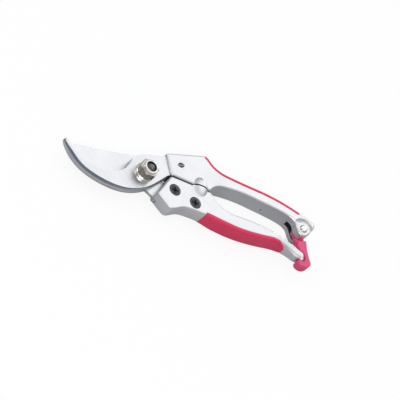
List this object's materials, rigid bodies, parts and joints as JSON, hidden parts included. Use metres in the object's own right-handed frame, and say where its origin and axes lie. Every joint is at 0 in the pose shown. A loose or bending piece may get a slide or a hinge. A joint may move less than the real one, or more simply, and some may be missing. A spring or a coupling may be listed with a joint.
{
  "type": "pruning shears",
  "caption": "Bypass pruning shears, closed and latched, with a hooked counter blade, cast handles with soft grips, a coil spring and a swinging thumb catch.",
  "frame": {"origin": "centre of the bounding box at its base, on the plane that the backs of the handles and the bolt's head lie on", "axes": "+X towards the ends of the handles, along the longest extent; +Z along the pivot, from the bolt's head to its nut; +Y towards the handle that carries the catch"},
  "size_m": [0.212, 0.0561, 0.0245],
  "materials": {
    "cast_aluminium": "fine cast, satin",
    "blade_steel": "ground",
    "black_steel": "black oxide",
    "nickel_plate": "bright nickel",
    "spring_steel": "drawn wire",
    "nylon": "black",
    "grip_rubber": "smooth, soft sheen",
    "catch_plastic": "satin"
  },
  "bodies": {
    "fixed_side": {"upper_handle": "cast_aluminium", "hook_blade": "blade_steel", "pivot_bolt": "black_steel", "pivot_nut": "nickel_plate", "nut_insert": "nylon", "pivot_washer": "nickel_plate", "head_washer": "nickel_plate", "hook_screw_front": "black_steel", "hook_screw_rear": "black_steel", "return_spring": "spring_steel", "upper_grip": "grip_rubber", "catch_pin": "nickel_plate", "catch_washer_front": "spring_steel", "catch_washer_back": "spring_steel"},
    "blade_side": {"lower_handle": "cast_aluminium", "cutting_blade": "blade_steel", "blade_screw_front": "black_steel", "blade_screw_rear": "black_steel", "lower_grip": "grip_rubber"},
    "catch": {"catch_lever": "catch_plastic"}
  },
  "joints": [
    {"name": "jaws_open", "type": "hinge", "parent": "fixed_side", "child": "blade_side", "pos_m": [-0.039, -0.00585, 0.0082], "axis": [0, 0, -1], "range_deg": [0, 39], "deforming": ["return_spring"]},
    {"name": "catch_swing", "type": "hinge", "parent": "fixed_side", "child": "catch", "pos_m": [0.0948, 0.00095, 0.0082], "axis": [0, 0, 1], "range_deg": [0, 50]}
  ]
}
